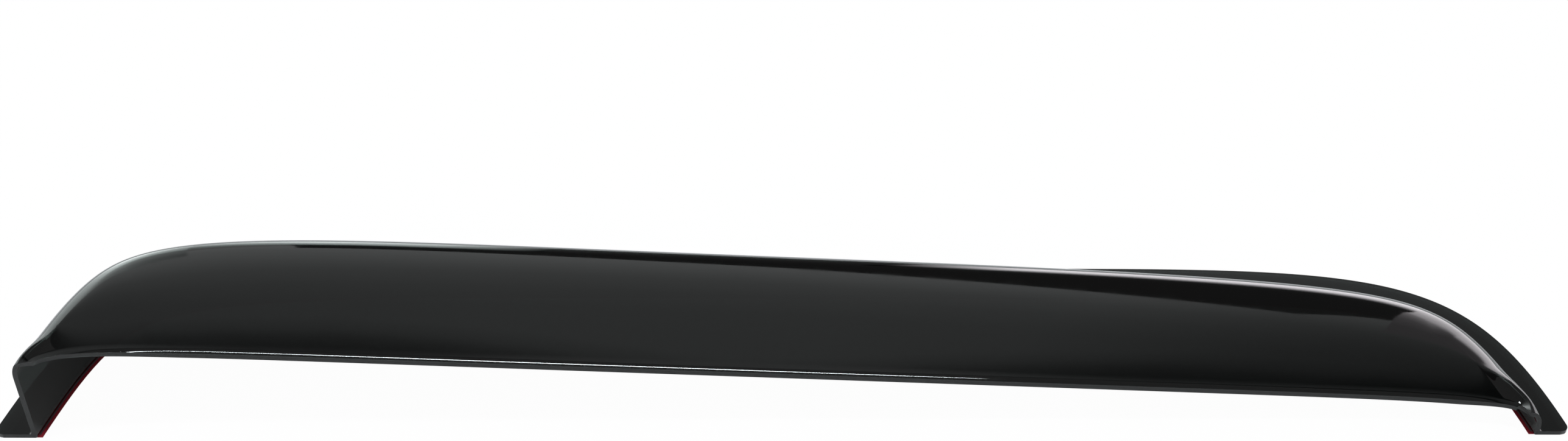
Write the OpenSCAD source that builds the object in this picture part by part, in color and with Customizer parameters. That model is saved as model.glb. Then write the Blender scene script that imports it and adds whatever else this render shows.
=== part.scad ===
// Side window rain deflector: one smoked acrylic moulding with its mounting tape
// and the liner that protects the tape, lying on its back.
// X runs along the door frame from the deep end to the shallow end,
// Y runs up the door, Z points away from the car.

/* [Outline] */
// Distance between the outer corners of the two feet, before they are rounded
length = 950; // [700:1:1200]
// Height of the arch from the deep foot to the top of the flange
arch_rise = 152.3; // [110:1:200]
// How far the shallow foot stops short of the deep one
foot_step = 6.3; // [0:1:20]
// Lean of the deep leg from the door line, in degrees
deep_lean = 78.5; // [65:1:88]
// Lean of the shallow leg from the door line, in degrees
shallow_lean = 80; // [65:0.5:88]
// Pull of the deep leg on its half of the arch
deep_leg_pull = 169; // [100:1:200]
// Pull of the shallow leg on its half of the arch
shallow_leg_pull = 172; // [100:1:200]
// Shoulder of the deep half, from the foot to the pull of the straight top
deep_shoulder = 47; // [0:1:120]
// Shoulder of the shallow half, from the foot to the pull of the straight top
shallow_shoulder = 90; // [0:1:120]

/* [Section] */
// Thickness of the acrylic sheet
sheet = 3; // [2:0.1:4]
// Width of the mounting flange at the deep foot, up to the wall
flange_w_deep = 23; // [18:0.1:30]
// Width of the mounting flange at the shallow foot, up to the wall
flange_w_shallow = 18.7; // [18:0.1:30]
// Extra width of the flange halfway down the shallow half
flange_swell = 5; // [0:0.1:6]
// Radius of the outer corner of each foot
foot_r = 6; // [1:0.5:8]
// Length of leg over which the sections turn level with the trimmed foot
trim_run = 60; // [30:1:100]
// Fillet where the wall rises from the flange
root_r = 1.5; // [0.5:0.1:3]
// Run of the rounded crest onto the face at the deep end
crest_run_deep = 12; // [6:0.5:16]
// Run of the rounded crest onto the face at the shallow end
crest_run_shallow = 20; // [6:0.5:24]
// Height of the rounding of the crest, where the wall is tall enough
crest_drop = 12; // [8:0.5:12]

/* [Depth] */
// Height of the crest above the glued face at the deep end
deep_height = 63.5; // [30:0.5:80]
// Height of the crest above the glued face at the shallow end
shallow_height = 20; // [19:0.5:28]
// How quickly the crest falls towards the shallow end, 1 is a straight line
crest_fall = 1.05; // [1:0.05:2]
// Rise of the face at its middle above a straight sheet
crown = 1.5; // [0:0.1:4]

/* [Lower edge] */
// Distance of the lower edge from the deep foot line, at the deep end
lower_edge_deep = 20.8; // [12:0.1:40]
// Distance of the lower edge from the deep foot line, at the shallow end
lower_edge_shallow = 25.3; // [12:0.1:40]
// Height of the lower edge above the glued face, at the deep end
deep_edge_height = 62; // [30:0.5:80]
// Height of the lower edge above the glued face, at the shallow end
shallow_edge_height = 16.5; // [16:0.5:28]
// Step from the end of the deep wall to the start of the lower edge
deep_corner_step = [9.5, 3.3]; // [2:0.1:16]
// Step from the end of the shallow wall to the end of the lower edge
shallow_corner_step = [-11, 9]; // [-20:0.5:12]
// Squareness of the two corners of the lower edge
corner_square = 12; // [6:1:24]
// Outer radius of the bend along the lower edge
lip_r = 6.5; // [5:0.1:10]
// Angle that the lower edge turns down by
lip_turn = 35; // [15:1:50]
// Length over which the lip grows out of the flat face, from the deep corner
lip_run_deep = 90; // [20:1:150]
// Length over which the lip grows out of the flat face, from the shallow corner
lip_run_shallow = 40; // [20:1:150]

/* [Mounting tape] */
// Thickness of the foam tape
tape_t = 1.2; // [0.8:0.1:2]
// Width of the foam tape
tape_w = 16; // [8:0.5:18]
// Distance of the tape from the inner face of the wall
tape_inset = 0.3; // [0:0.1:3]
// Distance of the tape's ends from the ends of the flange
tape_end_gap = 4; // [3:0.5:20]
// Thickness of the release liner
liner_t = 0.3; // [0.1:0.05:0.5]
// How far the liner stands out past each side of the tape
liner_overhang = 2; // [0.2:0.1:2.5]

/* [Quality] */
// Sections in each half of the arch
half_steps = 40; // [20:1:60]
// Sections in the rounding of each foot
foot_steps = 5; // [3:1:8]

/* [Hidden] */

root_steps = 3;
crest_steps = 7;
face_steps = 8;
lip_steps = 3;

// Levels above the surface that the part lies on
flange_bottom = tape_t + liner_t;
flange_top = flange_bottom + sheet;

// A point on the cubic curve through a and d, pulled towards b and c
function cubic(a, b, c, d, u) =
    pow(1 - u, 3) * a + 3 * pow(1 - u, 2) * u * b + 3 * (1 - u) * u * u * c + pow(u, 3) * d;
function cubic_slope(a, b, c, d, u) =
    3 * pow(1 - u, 2) * (b - a) + 6 * (1 - u) * u * (c - b) + 3 * u * u * (d - c);
function unit(v) = v / norm(v);
function mix(a, b, f) = a + f * (b - a);

// Outer edge of the flange: two cubics that meet at the top of the arch
half = length / 2;
deep_foot = [-half, 0];
shallow_foot = [half, foot_step];
top = [0, arch_rise];
deep_pull = deep_foot + deep_leg_pull * [cos(deep_lean), sin(deep_lean)];
shallow_pull = shallow_foot + shallow_leg_pull * [-cos(shallow_lean), sin(shallow_lean)];
deep_top_pull = [deep_shoulder - half, arch_rise];
shallow_top_pull = [half - shallow_shoulder, arch_rise];

// s runs from 0 at the deep foot to 1 at the shallow foot
function rim(s) = s <= 0.5
    ? cubic(deep_foot, deep_pull, deep_top_pull, top, 2 * s)
    : cubic(top, shallow_top_pull, shallow_pull, shallow_foot, 2 * s - 1);
function along(s) = unit(s <= 0.5
    ? cubic_slope(deep_foot, deep_pull, deep_top_pull, top, 2 * s)
    : cubic_slope(top, shallow_top_pull, shallow_pull, shallow_foot, 2 * s - 1));
function reach(s) = min(norm(rim(s) - deep_foot), norm(rim(s) - shallow_foot));

// The places on the rim at a short distance from each foot
function from_deep(d) = d / (6 * deep_leg_pull);
function from_shallow(d) = 1 - d / (6 * shallow_leg_pull);

// Direction of a section, one millimetre inward from the rim: square to the rim along the
// arch, and turning level at the feet, which are trimmed along the door line
function inward(s) =
    let (
        n = [along(s)[1], -along(s)[0]],
        f = min(1, reach(s) / trim_run),
        level = [s < 0.5 ? 1 : -1, 0],
        d = unit(mix(level, n, f * f * (3 - 2 * f)))
    )
    d / (d * n);
function inset_rim(s, d) = rim(s) + d * inward(s);

// Width of the flange, up to the outside of the wall
function flange_w(s) =
    mix(flange_w_deep, flange_w_shallow, s)
    + (s > 0.5 && s < 0.9 ? flange_swell * pow(sin(450 * (s - 0.5)), 2) : 0);

// Height of the crest and of the lower edge at a place along the part
deep_end = flange_w_deep - half;
shallow_end = half - flange_w_shallow;
function run_out(x) = min(1, max(0, (shallow_end - x) / (shallow_end - deep_end)));
function crest_z(x) = mix(shallow_height, deep_height, pow(run_out(x), crest_fall));
function lower_z(x) = mix(shallow_edge_height, deep_edge_height, run_out(x));
function crest_run(x) = mix(crest_run_shallow, crest_run_deep, run_out(x));

// The smaller of two lengths, eased where they are nearly equal
blend = 4;
function smaller(a, b) = min(a, b) - pow(max(0, blend - abs(a - b)), 3) / (6 * blend * blend);

// Plan of the bend along the lower edge: a flat superellipse between the two walls' ends
deep_corner = inset_rim(0, flange_w_deep) + deep_corner_step;
shallow_corner = inset_rim(1, flange_w_shallow) + shallow_corner_step;
function lower_plan(s) =
    let (
        q = -cos(180 * s),
        bulge = sqrt(max(0, 1 - pow(abs(q), corner_square))),
        ends = mix(deep_corner, shallow_corner, (1 + q) / 2),
        level = mix(lower_edge_deep, lower_edge_shallow, (1 + q) / 2)
    )
    [ends[0], mix(ends[1], level, bulge)];
edge_nudge = 0.002;
function lower_out(s) =
    let (t = unit(lower_plan(min(1, s + edge_nudge)) - lower_plan(max(0, s - edge_nudge))))
    [t[1], -t[0]];

// The flange narrows at the two ends, where its outer corners are rounded
function foot_cut(s) =
    let (g = max(0, foot_r - reach(s)))
    foot_r - sqrt(foot_r * foot_r - g * g);

// Share of the full lip at a place along the lower edge
function lip_share(x) =
    let (f = min(1, (x - deep_corner[0]) / lip_run_deep, (shallow_corner[0] - x) / lip_run_shallow))
    f > 0 ? f * f * (3 - 2 * f) : 0;
lip_reach = lip_r * sin(lip_turn);
lip_in = lip_r - sheet;
lip_tail = (lip_reach - lip_in * sin(lip_turn)) * tan(lip_turn);

// One section: pairs of an outside point and the inside point behind it
function section(s) =
    let (
        n = inward(s),
        wall = inset_rim(s, flange_w(s)),
        b = lower_plan(s),
        kz = crest_z(wall[0]),
        run = smaller(crest_run(wall[0]), 0.6 * norm(b - wall)),
        drop = smaller(crest_drop, 0.85 * (kz - flange_top)),
        shoulder = wall + run * n,
        m = lower_out(s),
        bz = lower_z(b[0]),
        width = norm(b - shoulder),
        bulge = crown * min(1, width / (arch_rise / 2)),
        lip = lip_share(b[0]),
        cut = foot_cut(s)
    )
    concat(
        [[at(rim(s) + cut * n, flange_top), at(rim(s) + cut * n, flange_bottom)]],
        [for (i = [0 : root_steps]) let (a = 90 * i / root_steps)
            [at(wall + root_r * (sin(a) - 1) * n, flange_top + root_r * (1 - cos(a))),
             at(wall + (sheet + root_r * (sin(a) - 1)) * n, flange_bottom + root_r * (1 - cos(a)))]],
        [for (i = [0 : crest_steps]) let (a = 90 * i / crest_steps)
            [at(wall + run * (1 - cos(a)) * n, kz - drop + drop * sin(a)),
             at(shoulder - (run - sheet) * cos(a) * n, kz - drop + (drop - sheet) * sin(a))]],
        [for (i = [1 : face_steps])
            let (f = i / face_steps, z = mix(kz, bz, f) + bulge * 4 * f * (1 - f))
            [at(mix(shoulder, b, f), z), at(mix(shoulder, b, f), z - sheet)]],
        [for (i = [1 : lip_steps - 1]) let (a = lip_turn * i / lip_steps, flat = lip_reach * i / lip_steps)
            [at(b + mix(flat, lip_r * sin(a), lip) * m, bz - lip * lip_r * (1 - cos(a))),
             at(b + mix(flat, lip_in * sin(a), lip) * m, bz + mix(-sheet, lip_in * cos(a) - lip_r, lip))]],
        [[at(b + lip_reach * m, bz - lip * lip_r * (1 - cos(lip_turn))),
          at(b + lip_reach * m, bz + mix(-sheet, lip_in * cos(lip_turn) - lip_r - lip_tail, lip))]]
    );
function at(p, z) = [p[0], p[1], z];

// The origin is at the middle of the part's footprint
foot_run = [for (i = [0 : foot_steps - 1]) foot_r * (1 - cos(90 * i / foot_steps))];
stations = concat(
    [for (d = foot_run) from_deep(d)],
    [for (i = [1 : 2 * half_steps - 1]) i / (2 * half_steps)],
    [for (i = [foot_steps - 1 : -1 : 0]) from_shallow(foot_run[i])]
);
rings = [for (s = stations) section(s)];
xs = [for (r = rings, p = r, q = p) q[0]];
ys = [for (r = rings, p = r, q = p) q[1]];
middle = [(min(xs) + max(xs)) / 2, (min(ys) + max(ys)) / 2, 0];

module deflector_shell() {
    pairs = len(rings[0]);
    last = len(rings) - 1;
    points = [for (r = rings, p = r, q = p) q];
    function out(i, j) = 2 * (i * pairs + j);
    function in(i, j) = out(i, j) + 1;
    color([0.13, 0.13, 0.14, 0.9])
        translate(-middle)
            polyhedron(points, concat(
                [for (i = [0 : last - 1], j = [0 : pairs - 2])
                    each [[out(i, j), out(i + 1, j + 1), out(i, j + 1)],
                          [out(i, j), out(i + 1, j), out(i + 1, j + 1)],
                          [in(i, j), in(i + 1, j + 1), in(i + 1, j)],
                          [in(i, j), in(i, j + 1), in(i + 1, j + 1)]]],
                [for (i = [0 : last - 1])
                    each [[out(i, 0), in(i + 1, 0), out(i + 1, 0)],
                          [out(i, 0), in(i, 0), in(i + 1, 0)],
                          [out(i, pairs - 1), out(i + 1, pairs - 1), in(i + 1, pairs - 1)],
                          [out(i, pairs - 1), in(i + 1, pairs - 1), in(i, pairs - 1)]]],
                [for (j = [0 : pairs - 2])
                    each [[out(0, j), in(0, j + 1), in(0, j)],
                          [out(0, j), out(0, j + 1), in(0, j + 1)],
                          [out(last, j), in(last, j), in(last, j + 1)],
                          [out(last, j), in(last, j + 1), out(last, j + 1)]]]
            ));
}

// A band of an even width under the flange, with its inner edge at a distance from the
// inner face of the wall
module band(width, inset, end_gap, thickness) {
    run = concat(
        [from_deep(end_gap)],
        [for (s = stations) if (reach(s) > end_gap + foot_r / 2) s],
        [from_shallow(end_gap)]
    );
    inner = [for (s = run) inset_rim(s, flange_w(s) + sheet - inset)];
    outer = [for (s = run) inset_rim(s, flange_w(s) + sheet - inset - width)];
    linear_extrude(thickness)
        polygon(concat(outer, [for (i = [len(run) - 1 : -1 : 0]) inner[i]]));
}

module foam_tape() {
    color([0.28, 0.28, 0.29])
        translate([0, 0, liner_t] - middle)
            band(tape_w, tape_inset, tape_end_gap, tape_t);
}

module release_liner() {
    color([0.62, 0.07, 0.12])
        translate(-middle)
            band(tape_w + 2 * liner_overhang, tape_inset - liner_overhang,
                tape_end_gap - liner_overhang, liner_t);
}

deflector_shell();
foam_tape();
release_liner();
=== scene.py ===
import math
import bpy
from mathutils import Euler, Matrix, Vector


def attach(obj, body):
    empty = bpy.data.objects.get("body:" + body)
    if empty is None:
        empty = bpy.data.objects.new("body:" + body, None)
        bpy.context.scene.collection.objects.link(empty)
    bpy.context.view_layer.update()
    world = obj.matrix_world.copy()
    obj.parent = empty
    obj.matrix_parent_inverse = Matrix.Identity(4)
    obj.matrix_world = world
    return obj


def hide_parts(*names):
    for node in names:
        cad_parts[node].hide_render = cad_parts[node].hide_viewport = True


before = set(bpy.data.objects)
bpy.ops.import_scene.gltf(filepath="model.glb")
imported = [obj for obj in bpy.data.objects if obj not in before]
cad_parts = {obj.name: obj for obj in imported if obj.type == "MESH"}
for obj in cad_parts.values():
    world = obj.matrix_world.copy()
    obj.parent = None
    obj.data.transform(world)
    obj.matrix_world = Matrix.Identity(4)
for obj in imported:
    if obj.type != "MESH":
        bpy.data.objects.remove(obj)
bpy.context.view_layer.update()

# Camera
# Stands in front of the part's long lower edge and looks down on it at 40 degrees.
# The small roll is the photograph's own.
camera_tilt = math.radians(50)
camera_roll = math.radians(0.16)
camera_place = (-0.00005, -0.93997, 0.89827)
camera_data = bpy.data.cameras.new("camera")
camera_data.sensor_fit = "HORIZONTAL"
camera_data.sensor_width = 36.0
camera_data.lens = 47.24
camera = bpy.data.objects.new("camera", camera_data)
look = Euler((camera_tilt, 0, 0)).to_matrix() @ Matrix.Rotation(camera_roll, 3, "Z")
camera.matrix_world = Matrix.Translation(camera_place) @ look.to_4x4()
bpy.context.scene.collection.objects.link(camera)
bpy.context.scene.camera = camera


# Deflector shell
# One moulding in dark smoked acrylic: a flat flange that is stuck to the door frame, a wall
# that tapers from the deep end to the shallow end, a rounded crest, a broad face and a lip
# turned down along the lower edge. It is lofted: one section follows the arch of the rim.
mm = 0.001
sheet = 3 * mm
root_r = 1.5 * mm
lip_r = 6.5 * mm
lip_turn = math.radians(35)
lip_in = lip_r - sheet
lip_reach = lip_r * math.sin(lip_turn)
lip_tail = (lip_reach - lip_in * math.sin(lip_turn)) * math.tan(lip_turn)
flange_under = 1.5 * mm
flange_over = flange_under + sheet
# Extra points lie a flat strip in from the flange's edge and from the root fillet, and at the
# start of the straight wall just over the fillet, so that the flat parts shade as flat
flat_strip = 1 * mm
wall_start = flange_over + root_r + 0.4 * mm
root_steps = 4
crest_steps = 24
face_steps = 24
lip_steps = 8

# The section's points, on the outside and behind it on the inside. Each is worked out from
# the sizes at its station, by three triples:
# across = parts of the flange's width and of the crest's run, then a plain distance inward
# up     = parts of the crest's height and of its drop, then a plain height
# face   = how far over the face it lies, then its steps outward and up from the lower bend
before_face = (0, 0, 0)
outside = []
inside = []
for part, step in ((-1, 0), (-1, flat_strip), (0, -root_r - flat_strip)):
    outside.append(((part, 0, step), (0, 0, flange_over), before_face))
    inside_step = step + (sheet if part == 0 else 0)
    inside.append(((part, 0, inside_step), (0, 0, flange_under), before_face))
for i in range(root_steps + 1):
    a = math.radians(90 * i / root_steps)
    step = root_r * (math.sin(a) - 1)
    rise = root_r * (1 - math.cos(a))
    outside.append(((0, 0, step), (0, 0, flange_over + rise), before_face))
    inside.append(((0, 0, step + sheet), (0, 0, flange_under + rise), before_face))
outside.append(((0, 0, 0), (0, 0, wall_start), before_face))
inside.append(((0, 0, sheet), (0, 0, wall_start), before_face))
for i in range(crest_steps + 1):
    a = math.radians(90 * i / crest_steps)
    s, c = math.sin(a), math.cos(a)
    outside.append(((0, 1 - c, 0), (1, s - 1, 0), before_face))
    inside.append(((0, 1 - c, sheet * c), (1, s - 1, -sheet * s), before_face))
over_crest = (0, 1, 0)
for i in range(1, face_steps + 1):
    outside.append((over_crest, (1, 0, 0), (i / face_steps, 0, 0)))
    inside.append((over_crest, (1, 0, -sheet), (i / face_steps, 0, -sheet)))
# flat holds the place of a lip point where the lip hasn't yet grown out of the face
flat_outside = [(0, 0, 0)] * len(outside)
flat_inside = [(0, 0, 0)] * len(inside)
for i in range(1, lip_steps + 1):
    a = lip_turn * i / lip_steps
    s, c = math.sin(a), math.cos(a)
    outside.append((over_crest, (1, 0, 0), (1, lip_r * s, lip_r * (c - 1))))
    inside.append((over_crest, (1, 0, 0), (1, lip_in * s, lip_in * c - lip_r)))
    flat_outside.append((0, lip_reach * i / lip_steps, 0))
    flat_inside.append((0, lip_reach * i / lip_steps, -sheet))
cut_end = lip_in * math.cos(lip_turn) - lip_r - lip_tail
inside[-1] = (over_crest, (1, 0, 0), (1, lip_reach, cut_end))
section = [point + (flat,) for point, flat in zip(outside, flat_outside)]
section += [point + (flat,) for point, flat in zip(inside, flat_inside)][::-1]

outline = bpy.data.meshes.new("deflector_section")
outline.from_pydata([(i, 0, 0) for i in range(len(section))],
                    [(i, (i + 1) % len(section)) for i in range(len(section))], [])
for k, name in enumerate(("across", "up", "face", "flat")):
    layer = outline.attributes.new(name, "FLOAT_VECTOR", "POINT")
    for i, point in enumerate(section):
        layer.data[i].vector = point[k]


# A Mix node takes its share at 0, and what it mixes at 2 and 3 (numbers), 4 and 5 (vectors)
# or 6 and 7 (colours). A Map Range node takes its two ranges at 1 and 2 and at 3 and 4.
def add(tree, kind, inputs=None, **settings):
    node = tree.nodes.new(kind)
    for name, value in settings.items():
        setattr(node, name, value)
    for key, value in (inputs or {}).items():
        if isinstance(value, bpy.types.NodeSocket):
            tree.links.new(value, node.inputs[key])
        else:
            node.inputs[key].default_value = value
    return node


# The loft is drawn in millimetres, from the level of the deep foot, and then moved so that
# the middle of its footprint is the origin. The feet, the top of the arch and the crest are
# drawn in by up to 0.17 mm, so that the fine mesh stays inside the coarser solid's box.
loft = bpy.data.node_groups.new("Deflector loft", "GeometryNodeTree")
loft.interface.new_socket("Geometry", in_out="INPUT", socket_type="NodeSocketGeometry")
loft.interface.new_socket("Geometry", in_out="OUTPUT", socket_type="NodeSocketGeometry")
metre = 1000
middle = Vector((0.0491, 76.6948, 0))
half_length = 475
deep_flange = 23
shallow_flange = 18.7
deep_foot = Vector((-474.94, 0.14, 0))
shallow_foot = Vector((474.92, 6.3, 0))
arch_top = 152.28
deep_lean = math.radians(78.5)
shallow_lean = math.radians(80)
deep_leg_pull = 169 * Vector((math.cos(deep_lean), math.sin(deep_lean), 0))
shallow_leg_pull = 172 * Vector((-math.cos(shallow_lean), math.sin(shallow_lean), 0))
deep_wall_end = -half_length + deep_flange / math.sin(deep_lean)
shallow_wall_end = half_length - shallow_flange / math.sin(shallow_lean)
sizes = {
    "Deep foot": deep_foot,
    "Deep leg pull": deep_foot + deep_leg_pull,
    "Deep shoulder": Vector((-428, arch_top, 0)),
    "Top of arch": Vector((0, arch_top, 0)),
    "Shallow shoulder": Vector((385, arch_top, 0)),
    "Shallow leg pull": shallow_foot + shallow_leg_pull,
    "Shallow foot": shallow_foot,
    "Deep corner": Vector((deep_wall_end + 9.5, 3.3, 0)),
    "Shallow corner": Vector((shallow_wall_end - 11, 15.3, 0)),
    "Trim run": 60,
    "Foot radius": 6,
    "Flange top": 4.5,
    "Flange width, deep": deep_flange,
    "Flange width, shallow": shallow_flange,
    "Flange swell": 5,
    "Crest run, deep": 12,
    "Crest run, shallow": 20,
    "Crest drop": 12,
    "Crest height, deep": 63.33,
    "Crest height, shallow": 20,
    "Crest fall": 1.05,
    "Lower edge, deep": 20.8,
    "Lower edge, shallow": 25.3,
    "Lower edge height, deep": 62,
    "Lower edge height, shallow": 16.5,
    "Lip run, deep": 90,
    "Lip run, shallow": 40,
    "Crown": 1.5,
    "Crowned width": 76,
    "Corner squareness": 12,
    "Easing": 4,
    "Stations": 420,
}
sockets = {}
for name, value in sizes.items():
    kind = "Vector" if isinstance(value, Vector) else "Int" if name == "Stations" else "Float"
    sockets[name] = loft.interface.new_socket(name, in_out="INPUT", socket_type="NodeSocket" + kind)
given = add(loft, "NodeGroupInput").outputs

# The stations run from 0 at the deep foot to 1 at the shallow one, and crowd towards the
# feet, where the corners are rounded: only a quarter of their spacing is even.
even_share = 0.25
line = add(loft, "GeometryNodeCurvePrimitiveLine", {"End": (1, 0, 0)}).outputs[0]
line = add(loft, "GeometryNodeResampleCurve", {"Curve": line, "Count": given["Stations"]}).outputs[0]
even = add(loft, "GeometryNodeSplineParameter").outputs["Factor"]
turn = add(loft, "ShaderNodeMath", {0: even, 1: math.pi}, operation="MULTIPLY").outputs[0]
turn = add(loft, "ShaderNodeMath", {0: turn}, operation="COSINE").outputs[0]
crowded = add(loft, "ShaderNodeMapRange", {"Value": turn, 1: 1, 2: -1, 3: 0, 4: 1}).outputs[0]
station = add(loft, "ShaderNodeMix", {0: even_share, 2: crowded, 3: even}).outputs[0]
keep_station = add(loft, "GeometryNodeCaptureAttribute", {0: line})
keep_station.capture_items.new("FLOAT", "station")
loft.links.new(station, keep_station.inputs[1])
line, station = keep_station.outputs[0], keep_station.outputs[1]

# Plan of the lower bend: a flat superellipse between the two corners
turn = add(loft, "ShaderNodeMath", {0: station, 1: math.pi}, operation="MULTIPLY").outputs[0]
turn = add(loft, "ShaderNodeMath", {0: turn}, operation="COSINE").outputs[0]
over = add(loft, "ShaderNodeMapRange", {"Value": turn, 1: 1, 2: -1, 3: 0, 4: 1}).outputs[0]
belly = add(loft, "ShaderNodeMath", {0: turn}, operation="ABSOLUTE").outputs[0]
belly = add(loft, "ShaderNodeMath", {0: belly, 1: given["Corner squareness"]},
            operation="POWER").outputs[0]
belly = add(loft, "ShaderNodeMath", {0: 1, 1: belly}, operation="SUBTRACT", use_clamp=True).outputs[0]
belly = add(loft, "ShaderNodeMath", {0: belly}, operation="SQRT").outputs[0]
ends = add(loft, "ShaderNodeMix", {0: over, 4: given["Deep corner"], 5: given["Shallow corner"]},
           data_type="VECTOR").outputs[1]
ends = add(loft, "ShaderNodeSeparateXYZ", {0: ends}).outputs
edge_y = add(loft, "ShaderNodeMix", {0: over, 2: given["Lower edge, deep"],
                                     3: given["Lower edge, shallow"]}).outputs[0]
edge_y = add(loft, "ShaderNodeMix", {0: belly, 2: ends["Y"], 3: edge_y}).outputs[0]
bend = add(loft, "ShaderNodeCombineXYZ", {"X": ends["X"], "Y": edge_y}).outputs[0]
line = add(loft, "GeometryNodeSetPosition", {"Geometry": line, "Position": bend}).outputs[0]
keep_bend = add(loft, "GeometryNodeCaptureAttribute", {0: line})
keep_bend.capture_items.new("VECTOR", "bend")
keep_bend.capture_items.new("VECTOR", "tangent")
loft.links.new(add(loft, "GeometryNodeInputPosition").outputs[0], keep_bend.inputs[1])
loft.links.new(add(loft, "GeometryNodeInputTangent").outputs[0], keep_bend.inputs[2])
line, bend = keep_bend.outputs[0], keep_bend.outputs[1]
outward = add(loft, "ShaderNodeVectorMath", {0: keep_bend.outputs[2], 1: (0, 0, 1)},
              operation="CROSS_PRODUCT").outputs[0]

# Rim of the flange: two cubics that meet at the top of the arch. Each is found by mixing
# its four pulls down to the two whose line touches it.
shallow_half = add(loft, "FunctionNodeCompare", {0: station, 1: 0.5},
                   operation="GREATER_THAN").outputs[0]
back = add(loft, "ShaderNodeMath", {0: shallow_half, 1: -1}, operation="MULTIPLY").outputs[0]
share = add(loft, "ShaderNodeMath", {0: station, 1: 2, 2: back}, operation="MULTIPLY_ADD").outputs[0]
pulls = [("Deep foot", "Top of arch"), ("Deep leg pull", "Shallow shoulder"),
         ("Deep shoulder", "Shallow leg pull"), ("Top of arch", "Shallow foot")]
pulls = [add(loft, "GeometryNodeSwitch", {0: shallow_half, 1: given[deep], 2: given[shallow]},
             input_type="VECTOR").outputs[0] for deep, shallow in pulls]
while len(pulls) > 2:
    pulls = [add(loft, "ShaderNodeMix", {0: share, 4: a, 5: b}, data_type="VECTOR").outputs[1]
             for a, b in zip(pulls, pulls[1:])]
rim = add(loft, "ShaderNodeMix", {0: share, 4: pulls[0], 5: pulls[1]}, data_type="VECTOR").outputs[1]
run = add(loft, "ShaderNodeVectorMath", {0: pulls[1], 1: pulls[0]}, operation="SUBTRACT").outputs[0]
run = add(loft, "ShaderNodeVectorMath", {0: run}, operation="NORMALIZE").outputs[0]
square = add(loft, "ShaderNodeVectorMath", {0: run, 1: (0, 0, 1)},
             operation="CROSS_PRODUCT").outputs[0]
reach = [add(loft, "ShaderNodeVectorMath", {0: rim, 1: given[foot]},
             operation="DISTANCE").outputs["Value"] for foot in ("Deep foot", "Shallow foot")]
reach = add(loft, "ShaderNodeMath", {0: reach[0], 1: reach[1]}, operation="MINIMUM").outputs[0]

# Inward from the rim: square to it along the arch, level at the trimmed feet. It is made
# longer where it leans, so that a width is always measured square to the rim.
blend = add(loft, "ShaderNodeMapRange", {"Value": reach, 1: 0, 2: given["Trim run"]},
            interpolation_type="SMOOTHSTEP").outputs[0]
level = add(loft, "GeometryNodeSwitch", {0: shallow_half, 1: (1, 0, 0), 2: (-1, 0, 0)},
            input_type="VECTOR").outputs[0]
inward = add(loft, "ShaderNodeMix", {0: blend, 4: level, 5: square}, data_type="VECTOR").outputs[1]
inward = add(loft, "ShaderNodeVectorMath", {0: inward}, operation="NORMALIZE").outputs[0]
lean = add(loft, "ShaderNodeVectorMath", {0: inward, 1: square},
           operation="DOT_PRODUCT").outputs["Value"]
lean = add(loft, "ShaderNodeMath", {0: 1, 1: lean}, operation="DIVIDE").outputs[0]
inward = add(loft, "ShaderNodeVectorMath", {0: inward, "Scale": lean}, operation="SCALE").outputs[0]

# Flange width at the station, with a swell over most of the shallow half
swell_start = 0.5
swell_end = 0.9
flange = add(loft, "ShaderNodeMix", {0: station, 2: given["Flange width, deep"],
                                     3: given["Flange width, shallow"]}).outputs[0]
swell = add(loft, "ShaderNodeMapRange", {"Value": station, 1: swell_start, 2: swell_end,
                                         3: 0, 4: math.pi}).outputs[0]
swell = add(loft, "ShaderNodeMath", {0: swell}, operation="SINE").outputs[0]
swell = add(loft, "ShaderNodeMath", {0: swell, 1: 2}, operation="POWER").outputs[0]
flange = add(loft, "ShaderNodeMath", {0: swell, 1: given["Flange swell"], 2: flange},
             operation="MULTIPLY_ADD").outputs[0]
wall = add(loft, "ShaderNodeVectorMath", {0: inward, 1: flange, 2: rim},
           operation="MULTIPLY_ADD").outputs[0]

# Heights of the crest and of the lower edge, which fall from the deep end to the shallow one
deep_end = deep_flange - half_length
shallow_end = half_length - shallow_flange
wall_x = add(loft, "ShaderNodeSeparateXYZ", {0: wall}).outputs["X"]
bend_x = add(loft, "ShaderNodeSeparateXYZ", {0: bend}).outputs["X"]
run_out = add(loft, "ShaderNodeMapRange", {"Value": wall_x, 1: shallow_end, 2: deep_end}).outputs[0]
edge_out = add(loft, "ShaderNodeMapRange", {"Value": bend_x, 1: shallow_end, 2: deep_end}).outputs[0]
fall = add(loft, "ShaderNodeMath", {0: run_out, 1: given["Crest fall"]}, operation="POWER").outputs[0]
crest = add(loft, "ShaderNodeMix", {0: fall, 2: given["Crest height, shallow"],
                                    3: given["Crest height, deep"]}).outputs[0]
edge_z = add(loft, "ShaderNodeMix", {0: edge_out, 2: given["Lower edge height, shallow"],
                                     3: given["Lower edge height, deep"]}).outputs[0]

# Rounding of the crest: it takes at most 0.6 of the way to the lower bend, and at most 0.85
# of the wall's height
most_run = 0.6
most_drop = 0.85
crest_run = add(loft, "ShaderNodeMix", {0: run_out, 2: given["Crest run, shallow"],
                                        3: given["Crest run, deep"]}).outputs[0]
room = add(loft, "ShaderNodeVectorMath", {0: wall, 1: bend}, operation="DISTANCE").outputs["Value"]
room = add(loft, "ShaderNodeMath", {0: room, 1: most_run}, operation="MULTIPLY").outputs[0]
crest_run = add(loft, "ShaderNodeMath", {0: crest_run, 1: room, 2: given["Easing"]},
                operation="SMOOTH_MIN").outputs[0]
room = add(loft, "ShaderNodeMath", {0: crest, 1: given["Flange top"]}, operation="SUBTRACT").outputs[0]
room = add(loft, "ShaderNodeMath", {0: room, 1: most_drop}, operation="MULTIPLY").outputs[0]
drop = add(loft, "ShaderNodeMath", {0: room, 1: given["Crest drop"], 2: given["Easing"]},
           operation="SMOOTH_MIN").outputs[0]

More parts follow.
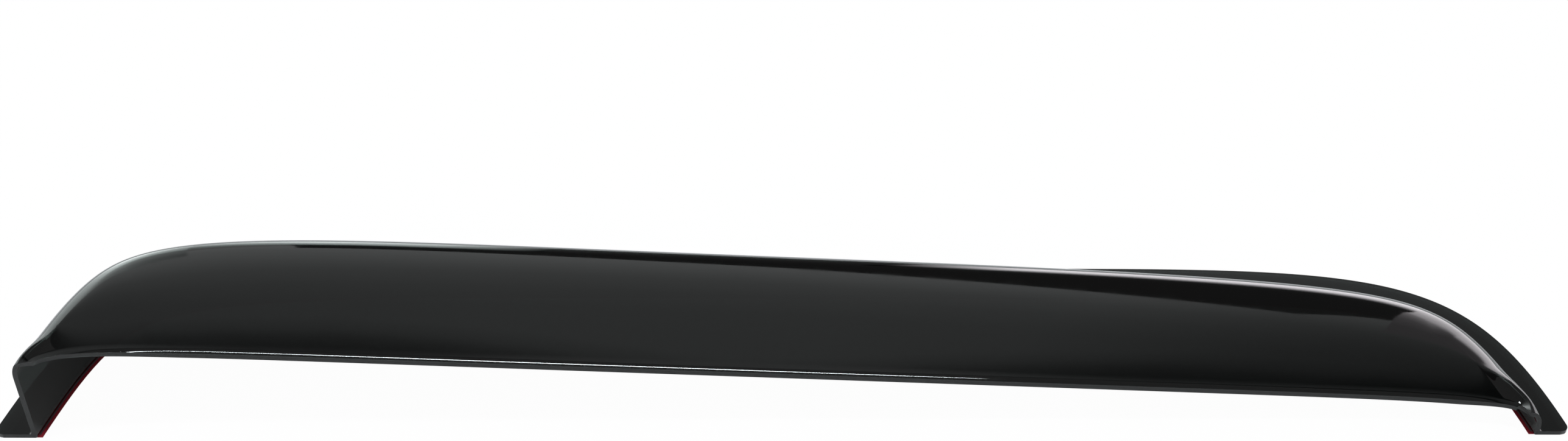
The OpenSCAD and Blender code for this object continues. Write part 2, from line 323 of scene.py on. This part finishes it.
# Outer corners of the feet: the flange is cut back there by an arc of the foot's radius
gap = add(loft, "ShaderNodeMath", {0: given["Foot radius"], 1: reach}, operation="SUBTRACT").outputs[0]
gap = add(loft, "ShaderNodeMath", {0: gap, 1: 0}, operation="MAXIMUM").outputs[0]
gap = add(loft, "ShaderNodeMath", {0: gap, 1: 2}, operation="POWER").outputs[0]
foot_sq = add(loft, "ShaderNodeMath", {0: given["Foot radius"], 1: 2}, operation="POWER").outputs[0]
gap = add(loft, "ShaderNodeMath", {0: foot_sq, 1: gap}, operation="SUBTRACT").outputs[0]
gap = add(loft, "ShaderNodeMath", {0: gap}, operation="SQRT").outputs[0]
cut = add(loft, "ShaderNodeMath", {0: given["Foot radius"], 1: gap}, operation="SUBTRACT").outputs[0]
flange = add(loft, "ShaderNodeMath", {0: flange, 1: cut}, operation="SUBTRACT").outputs[0]

# Share of the full lip: it grows out of the flat face from both corners
ends = [add(loft, "ShaderNodeSeparateXYZ", {0: given[name]}).outputs["X"]
        for name in ("Deep corner", "Shallow corner")]
ends = [add(loft, "ShaderNodeMath", {0: a, 1: b}, operation="SUBTRACT").outputs[0]
        for a, b in ((bend_x, ends[0]), (ends[1], bend_x))]
ends = [add(loft, "ShaderNodeMath", {0: a, 1: given[name]}, operation="DIVIDE").outputs[0]
        for a, name in zip(ends, ("Lip run, deep", "Lip run, shallow"))]
lip = add(loft, "ShaderNodeMath", {0: ends[0], 1: ends[1]}, operation="MINIMUM").outputs[0]
lip = add(loft, "ShaderNodeMapRange", {"Value": lip}, interpolation_type="SMOOTHSTEP").outputs[0]

# The section is swept along the stations. A point's near place is on the flange, the wall or
# the crest, and its far place at the lower bend; on the face it lies between the two.
swept = add(loft, "GeometryNodeCurveToMesh", {
    "Curve": line,
    "Profile Curve": add(loft, "GeometryNodeMeshToCurve", {"Mesh": given["Geometry"]}).outputs[0],
    "Fill Caps": True,
}).outputs[0]
triple = {name: add(loft, "GeometryNodeInputNamedAttribute", {"Name": name}, data_type="FLOAT_VECTOR")
          .outputs[0] for name in ("across", "up", "face", "flat")}
here = add(loft, "ShaderNodeCombineXYZ", {"X": flange, "Y": crest_run, "Z": metre}).outputs[0]
step = add(loft, "ShaderNodeVectorMath", {0: triple["across"], 1: here},
           operation="DOT_PRODUCT").outputs["Value"]
near = add(loft, "ShaderNodeVectorMath", {0: inward, 1: step, 2: wall},
           operation="MULTIPLY_ADD").outputs[0]
here = add(loft, "ShaderNodeCombineXYZ", {"X": crest, "Y": drop, "Z": metre}).outputs[0]
near_z = add(loft, "ShaderNodeVectorMath", {0: triple["up"], 1: here},
             operation="DOT_PRODUCT").outputs["Value"]
shoulder = add(loft, "ShaderNodeVectorMath", {0: inward, 1: crest_run, 2: wall},
               operation="MULTIPLY_ADD").outputs[0]
width = add(loft, "ShaderNodeVectorMath", {0: shoulder, 1: bend},
            operation="DISTANCE").outputs["Value"]
crown = add(loft, "ShaderNodeMapRange", {"Value": width, 1: 0, 2: given["Crowned width"],
                                         3: 0, 4: given["Crown"]}).outputs[0]

# The crest's last part leans, by a fraction of a millimetre, to meet the crowned face smoothly.
# The face's slope is turned from its own direction and the crest's fall into the inward one.
# Two limits keep the lean small where the face's own direction runs nearly along the rim.
least_square = 0.4
steepest = 0.25
slope = add(loft, "ShaderNodeMath", {0: edge_z, 1: crest}, operation="SUBTRACT").outputs[0]
slope = add(loft, "ShaderNodeMath", {0: crown, 1: 4, 2: slope}, operation="MULTIPLY_ADD").outputs[0]
slope = add(loft, "ShaderNodeMath", {0: slope, 1: width}, operation="DIVIDE").outputs[0]
down = add(loft, "ShaderNodeVectorMath", {0: bend, 1: shoulder}, operation="SUBTRACT").outputs[0]
down = add(loft, "ShaderNodeVectorMath", {0: down}, operation="NORMALIZE").outputs[0]
down_square, down_run, inward_run = [
    add(loft, "ShaderNodeVectorMath", {0: a, 1: b}, operation="DOT_PRODUCT").outputs["Value"]
    for a, b in ((down, square), (down, run), (inward, run))]
down_square = add(loft, "ShaderNodeMath", {0: down_square, 1: least_square},
                  operation="MAXIMUM").outputs[0]
run_x = add(loft, "ShaderNodeSeparateXYZ", {0: run}).outputs["X"]
crest_fall = add(loft, "ShaderNodeMath", {0: given["Crest height, shallow"],
                                          1: given["Crest height, deep"]},
                 operation="SUBTRACT").outputs[0]
crest_fall = add(loft, "ShaderNodeMath", {0: crest_fall, 1: shallow_end - deep_end},
                 operation="DIVIDE").outputs[0]
crest_fall = add(loft, "ShaderNodeMath", {0: crest_fall, 1: run_x}, operation="MULTIPLY").outputs[0]
aside = add(loft, "ShaderNodeMath", {0: down_run, 1: crest_fall}, operation="MULTIPLY").outputs[0]
slope = add(loft, "ShaderNodeMath", {0: slope, 1: aside}, operation="SUBTRACT").outputs[0]
slope = add(loft, "ShaderNodeMath", {0: slope, 1: down_square}, operation="DIVIDE").outputs[0]
slope = add(loft, "ShaderNodeMath", {0: inward_run, 1: crest_fall, 2: slope},
            operation="MULTIPLY_ADD").outputs[0]
slope = add(loft, "ShaderNodeClamp", {"Value": slope, "Min": -steepest, "Max": steepest}).outputs[0]
slope = add(loft, "ShaderNodeMath", {0: slope, 1: crest_run}, operation="MULTIPLY").outputs[0]
along = add(loft, "ShaderNodeSeparateXYZ", {0: triple["across"]}).outputs["Y"]
dip = add(loft, "ShaderNodeMath", {0: along, 1: 1}, operation="SUBTRACT").outputs[0]
dip = add(loft, "ShaderNodeMath", {0: dip, 1: along}, operation="MULTIPLY").outputs[0]
near_z = add(loft, "ShaderNodeMath", {0: dip, 1: slope, 2: near_z},
             operation="MULTIPLY_ADD").outputs[0]

# Far place, with the lip as grown as it is at the station
flat = add(loft, "ShaderNodeSeparateXYZ", {0: triple["flat"]}).outputs
flat_end = add(loft, "ShaderNodeCombineXYZ", {"X": 1, "Y": flat["Y"], "Z": flat["Z"]}).outputs[0]
bent = add(loft, "FunctionNodeCompare", {0: flat["Y"], 1: 0}, operation="GREATER_THAN").outputs[0]
flat_end = add(loft, "GeometryNodeSwitch", {0: bent, 1: triple["face"], 2: flat_end},
               input_type="VECTOR").outputs[0]
face = add(loft, "ShaderNodeMix", {0: lip, 4: flat_end, 5: triple["face"]},
           data_type="VECTOR").outputs[1]
face = add(loft, "ShaderNodeSeparateXYZ", {0: face}).outputs
step = add(loft, "ShaderNodeMath", {0: face["Y"], 1: metre}, operation="MULTIPLY").outputs[0]
far = add(loft, "ShaderNodeVectorMath", {0: outward, 1: step, 2: bend},
          operation="MULTIPLY_ADD").outputs[0]
far_z = add(loft, "ShaderNodeMath", {0: face["Z"], 1: metre, 2: edge_z},
            operation="MULTIPLY_ADD").outputs[0]

# Between the two the face bows by a parabola as high as the crown
bow = add(loft, "ShaderNodeMath", {0: 1, 1: face["X"]}, operation="SUBTRACT").outputs[0]
bow = add(loft, "ShaderNodeMath", {0: bow, 1: face["X"]}, operation="MULTIPLY").outputs[0]
bow = add(loft, "ShaderNodeMath", {0: bow, 1: 4}, operation="MULTIPLY").outputs[0]
rise = add(loft, "ShaderNodeMix", {0: face["X"], 2: near_z, 3: far_z}).outputs[0]
rise = add(loft, "ShaderNodeMath", {0: bow, 1: crown, 2: rise}, operation="MULTIPLY_ADD").outputs[0]
place = add(loft, "ShaderNodeMix", {0: face["X"], 4: near, 5: far}, data_type="VECTOR").outputs[1]
place = add(loft, "ShaderNodeSeparateXYZ", {0: place}).outputs
place = add(loft, "ShaderNodeCombineXYZ", {"X": place["X"], "Y": place["Y"], "Z": rise}).outputs[0]
place = add(loft, "ShaderNodeVectorMath", {0: place, 1: middle}, operation="SUBTRACT").outputs[0]
place = add(loft, "ShaderNodeVectorMath", {0: place, "Scale": mm}, operation="SCALE").outputs[0]
swept = add(loft, "GeometryNodeSetPosition", {"Geometry": swept, "Position": place}).outputs[0]
swept = add(loft, "GeometryNodeSetShadeSmooth", {0: swept}).outputs[0]
swept = add(loft, "GeometryNodeRealizeInstances", {0: swept}).outputs[0]


def linear(code):
    parts = [int(code[i:i + 2], 16) / 255 for i in (1, 3, 5)]
    return tuple(p / 12.92 if p <= 0.04045 else ((p + 0.055) / 1.055) ** 2.4 for p in parts) + (1.0,)


# Cast acrylic, dark smoke: clear resin dyed so deep that one sheet passes a few percent of
# the light, with a polished skin. The eye sees mostly its reflections, a little softer where
# wiping has left a faint haze in patches of about 12 mm.
haze_patch = 12 * mm
clearest = 0.3
haziest = 0.7
polished = 0.02
hazed = 0.045
acrylic = bpy.data.materials.new("smoked cast acrylic, polished")
acrylic.use_nodes = True
acrylic.node_tree.nodes.clear()
tree = acrylic.node_tree
place = add(tree, "ShaderNodeTexCoord").outputs["Object"]
haze = add(tree, "ShaderNodeTexNoise", {"Vector": place, "Scale": 1 / haze_patch,
                                        "Detail": 4.0}).outputs["Fac"]
haze = add(tree, "ShaderNodeMapRange", {"Value": haze, 1: clearest, 2: haziest,
                                        3: polished, 4: hazed}).outputs[0]
skin = add(tree, "ShaderNodeBsdfPrincipled", {
    "Base Color": linear("#1b1f1e"),
    "Roughness": haze,
    "IOR": 1.49,
    "Transmission Weight": 1.0,
})
add(tree, "ShaderNodeOutputMaterial", {"Surface": skin.outputs[0]})

finish = add(loft, "GeometryNodeSetMaterial", {"Geometry": swept, "Material": acrylic}).outputs[0]
add(loft, "NodeGroupOutput", {"Geometry": finish})

shell = bpy.data.objects.new("smoked_shell", outline)
bpy.context.scene.collection.objects.link(shell)
modifier = shell.modifiers.new("loft", "NODES")
modifier.node_group = loft
for name, value in sizes.items():
    modifier[sockets[name].identifier] = value
# The cut edges of the sheet are broken by a tenth of a millimetre
edges = shell.modifiers.new("broken edges", "BEVEL")
edges.width = 0.1 * mm
edges.segments = 2
edges.limit_method = "ANGLE"
edges.angle_limit = math.radians(45)
edges.use_clamp_overlap = False
edges.harden_normals = True
edges.loop_slide = False
bpy.context.view_layer.update()
graph = bpy.context.evaluated_depsgraph_get()
moulding = bpy.data.meshes.new_from_object(shell.evaluated_get(graph), depsgraph=graph)
shell.modifiers.clear()
shell.data = moulding
moulding.name = "smoked_shell"
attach(shell, "root")
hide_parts("deflector_shell")


# Foam mounting tape
# A run of double-sided acrylic foam tape, 1.2 mm thick, rolled onto the underside of the
# flange. Fine closed cells give it a dull, slightly mottled edge.
foam_cell = 0.8 * mm
dent_depth = 0.2 * mm
tape = bpy.data.materials.new("acrylic foam tape, slit edge")
tape.use_nodes = True
tape.node_tree.nodes.clear()
tree = tape.node_tree
place = add(tree, "ShaderNodeTexCoord").outputs["Object"]
cells = add(tree, "ShaderNodeTexNoise", {"Vector": place, "Scale": 1 / foam_cell,
                                         "Detail": 3.0}).outputs["Fac"]
shade = add(tree, "ShaderNodeMix", {0: cells, 6: linear("#2c2a2b"), 7: linear("#45393b")},
            data_type="RGBA").outputs[2]
dents = add(tree, "ShaderNodeBump", {"Strength": 0.4, "Distance": dent_depth,
                                     "Height": cells}).outputs[0]
foam = add(tree, "ShaderNodeBsdfPrincipled", {"Base Color": shade, "Roughness": 0.8, "IOR": 1.47,
                                              "Normal": dents})
add(tree, "ShaderNodeOutputMaterial", {"Surface": foam.outputs[0]})
tape_node = bpy.data.objects["foam_tape"]
tape_node.data.materials.clear()
tape_node.data.materials.append(tape)


# Release liner
# A red polyethylene film on the tape's outer adhesive, a little wider than the tape so that
# it can be gripped and peeled off when the part is fitted. It has a satin skin with long,
# shallow waves.
film_wave = 9 * mm
wave_depth = 0.3 * mm
film = bpy.data.materials.new("red polyethylene release film")
film.use_nodes = True
film.node_tree.nodes.clear()
tree = film.node_tree
place = add(tree, "ShaderNodeTexCoord").outputs["Object"]
waves = add(tree, "ShaderNodeTexNoise", {"Vector": place, "Scale": 1 / film_wave,
                                         "Detail": 2.0}).outputs["Fac"]
shade = add(tree, "ShaderNodeMix", {0: waves, 6: linear("#ab2c3a"), 7: linear("#bd3d4a")},
            data_type="RGBA").outputs[2]
ripple = add(tree, "ShaderNodeBump", {"Strength": 0.3, "Distance": wave_depth,
                                      "Height": waves}).outputs[0]
red = add(tree, "ShaderNodeBsdfPrincipled", {"Base Color": shade, "Roughness": 0.35, "IOR": 1.51,
                                             "Normal": ripple})
add(tree, "ShaderNodeOutputMaterial", {"Surface": red.outputs[0]})
liner_node = bpy.data.objects["release_liner"]
liner_node.data.materials.clear()
liner_node.data.materials.append(film)


# Studio
# White paper on a table, in a room that polished acrylic mirrors: tall windows low down on
# both sides, a dark opening between them, a pale diffuser over it, a softbox overhead and a
# dim cloth above. The paper is white to the eye and keeps the part's shadow.
paper_half = 12
# Share of plain white that the eye sees in the paper, and that a polished skin sees in it
white_to_camera = 0.975
white_to_gloss = 0.05
floor_mesh = bpy.data.meshes.new("floor")
floor_mesh.from_pydata([(-paper_half, -paper_half, 0), (paper_half, -paper_half, 0),
                        (paper_half, paper_half, 0), (-paper_half, paper_half, 0)],
                       [], [(0, 1, 2, 3)])
floor = bpy.data.objects.new("floor", floor_mesh)
bpy.context.scene.collection.objects.link(floor)
paper = bpy.data.materials.new("white background paper")
paper.use_nodes = True
paper.node_tree.nodes.clear()
tree = paper.node_tree
matt = add(tree, "ShaderNodeBsdfDiffuse", {"Color": linear("#f8f8f8")}).outputs[0]
white = add(tree, "ShaderNodeEmission", {"Color": linear("#ffffff"), "Strength": 1.0}).outputs[0]
path = add(tree, "ShaderNodeLightPath").outputs
seen = add(tree, "ShaderNodeMath", {0: path["Is Glossy Ray"], 1: path["Is Transmission Ray"]},
           operation="MAXIMUM").outputs[0]
seen = add(tree, "ShaderNodeMath", {0: seen, 1: white_to_gloss}, operation="MULTIPLY").outputs[0]
seen = add(tree, "ShaderNodeMath", {0: path["Is Camera Ray"], 1: white_to_camera, 2: seen},
           operation="MULTIPLY_ADD").outputs[0]
paper_skin = add(tree, "ShaderNodeMixShader", {0: seen, 1: matt, 2: white}).outputs[0]
add(tree, "ShaderNodeOutputMaterial", {"Surface": paper_skin})
floor_mesh.materials.append(paper)


def along_ramp(tree, angle, stops, level):
    """The level times a ramp over the angle, whose stops are (degrees, share)"""
    first, last = stops[0][0], stops[-1][0]
    where = add(tree, "ShaderNodeMapRange", {"Value": angle, 1: math.radians(first),
                                             2: math.radians(last)}).outputs[0]
    ramp = add(tree, "ShaderNodeValToRGB", {0: where})
    elements = ramp.color_ramp.elements
    for degrees, share in stops[1:-1]:
        elements.new((degrees - first) / (last - first)).color = (share, share, share, 1)
    elements[0].color = (stops[0][1],) * 3 + (1,)
    elements[-1].color = (stops[-1][1],) * 3 + (1,)
    return add(tree, "ShaderNodeMath", {0: ramp.outputs[0], 1: level}, operation="MULTIPLY").outputs[0]


def screen(name, radius, sides, heights, strength, tint="#ffffff", rising=None, wide=None,
           fading=None, drooping=None):
    """A glowing screen around the part, between two bearings from +Y towards +X and two
    elevations. A third elevation is that of its top at the second bearing.
    rising and wide say how its glow changes with the elevation and with the bearing.
    fading says how it dies away at its top, and drooping how much lower it does so at each
    bearing, in tens of degrees."""
    rows, columns = 30, 60
    points = []
    for row in range(rows + 1):
        for column in range(columns + 1):
            head = heights[1] + (heights[-1] - heights[1]) * column / columns
            up = math.radians(heights[0] + (head - heights[0]) * row / rows)
            turn = math.radians(sides[0] + (sides[1] - sides[0]) * column / columns)
            points.append((radius * math.cos(up) * math.sin(turn),
                           radius * math.cos(up) * math.cos(turn),
                           radius * math.sin(up)))
    corners = [row * (columns + 1) + column for row in range(rows) for column in range(columns)]
    quads = [(at, at + 1, at + columns + 2, at + columns + 1) for at in corners]
    cloth = bpy.data.materials.new(name + " cloth")
    cloth.use_nodes = True
    cloth.node_tree.nodes.clear()
    tree = cloth.node_tree
    place = add(tree, "ShaderNodeTexCoord").outputs["Object"]
    spot = add(tree, "ShaderNodeSeparateXYZ", {0: place}).outputs
    level = strength
    up = add(tree, "ShaderNodeMath", {0: spot["Z"], 1: radius}, operation="DIVIDE").outputs[0]
    up = add(tree, "ShaderNodeMath", {0: up}, operation="ARCSINE").outputs[0]
    turn = add(tree, "ShaderNodeMath", {0: spot["X"], 1: spot["Y"]}, operation="ARCTAN2").outputs[0]
    if rising:
        level = along_ramp(tree, up, rising, level)
    if wide:
        level = along_ramp(tree, turn, wide, level)
    if fading:
        droop = along_ramp(tree, turn, drooping, math.radians(10))
        up = add(tree, "ShaderNodeMath", {0: up, 1: droop}, operation="ADD").outputs[0]
        level = along_ramp(tree, up, fading, level)
    glow = add(tree, "ShaderNodeEmission", {"Color": linear(tint), "Strength": level}).outputs[0]
    add(tree, "ShaderNodeOutputMaterial", {"Surface": glow})
    screen_mesh = bpy.data.meshes.new(name)
    screen_mesh.from_pydata(points, [], quads)
    screen_mesh.materials.append(cloth)
    panel = bpy.data.objects.new(name, screen_mesh)
    bpy.context.scene.collection.objects.link(panel)
    panel.visible_camera = False
    panel.visible_shadow = False


# Bearings and elevations in degrees. The crest mirrors the windows and the sills, the top of
# the face the dark opening, and the rest of the face the diffuser.
screen("dark_opening", 9.0, (-14.5, 25), (0, 35.4, 37.6), 0.1)
screen("opening_corner", 9.0, (25, 29), (0, 37.6, 35.2), 0.1)
screen("left_window", 8.9, (-80, -19), (0, 36.2), 6.0, "#f4fcfb",
       rising=((0, 1.0), (17, 0.95), (28, 0.75), (33, 0.5), (34.5, 0.38), (36.2, 0.22)),
       wide=((-80, 0.3), (-41, 0.35), (-36, 0.45), (-31, 0.75), (-28, 1.0), (-24, 0.95), (-19, 0.45)))
screen("left_sill", 8.8, (-19, -5), (0, 30), 5.0, "#f4fcfb",
       rising=((0, 1.0), (14, 0.9), (30, 0.2)),
       wide=((-19, 0.5), (-13, 1.0), (-9, 0.8), (-5, 0.0)))
screen("right_sill", 8.8, (6, 29), (0, 24), 5.2, "#fcf7fb",
       rising=((0, 1.0), (12, 0.9), (20, 0.15), (24, 0.0)),
       wide=((6, 0.0), (10, 1.0), (29, 1.0)))
screen("right_window", 8.9, (29, 80), (0, 38.5), 4.9, "#fcf7fb",
       wide=((29, 1.0), (38, 1.0), (50, 0.7), (80, 0.5)),
       fading=((0, 1.0), (10, 0.85), (20, 0.75), (28, 0.65), (31, 0.43), (33, 0.22), (34, 0.13),
               (36, 0.085), (48, 0.075)),
       drooping=((29, 0.0), (31.3, 0.0), (34, 0.65), (37, 0.9), (80, 0.9)))
screen("diffuser", 9.1, (-80, 80), (34.5, 57), 1.0, "#f6fafa",
       rising=((34.5, 1.4), (36, 1.2), (37.3, 0.98), (38.5, 0.8), (39.5, 0.68), (42, 0.56), (45, 0.5),
               (57, 0.5)),
       wide=((-80, 0.6), (-32, 0.65), (-26, 0.85), (-15, 0.92), (-8, 1.0), (8, 1.0), (17, 0.9), (23, 0.7),
             (29, 0.52), (34, 0.45), (40, 0.2), (80, 0.2)),
       fading=((53, 1.0), (55, 0.8), (56.5, 0.5), (58, 0.35), (60, 0.3)),
       drooping=((-80, 0.1), (-27, 0.2), (-24, 0.4), (-20, 0.55), (-15, 0.58), (-10, 0.48), (-4, 0.3),
                 (4, 0.05), (10, 0.15), (15, 0.35), (25, 0.65), (80, 0.7)))
screen("black_cloth", 9.2, (-180, 180), (57, 90), 0.28)
screen("camera_side", 9.3, (75, 280), (32, 57), 0.25)

# The softbox draws the bright line along the lower bend
box_data = bpy.data.lights.new("softbox", "AREA")
box_data.shape = "ELLIPSE"
box_data.color = linear("#f2fafe")[:3]
box_data.size = 2.05
box_data.size_y = 0.4
box_data.energy = 95
box = bpy.data.objects.new("softbox", box_data)
box.location = (-0.15, -0.03, 4.0)
bpy.context.scene.collection.objects.link(box)

world = bpy.data.worlds.new("studio")
bpy.context.scene.world = world
world.use_nodes = True
world.node_tree.nodes.clear()
tree = world.node_tree
room = add(tree, "ShaderNodeBackground", {"Color": linear("#ffffff"), "Strength": 0.9})
add(tree, "ShaderNodeOutputWorld", {"Surface": room.outputs[0]})

bpy.context.scene.view_settings.view_transform = "Standard"
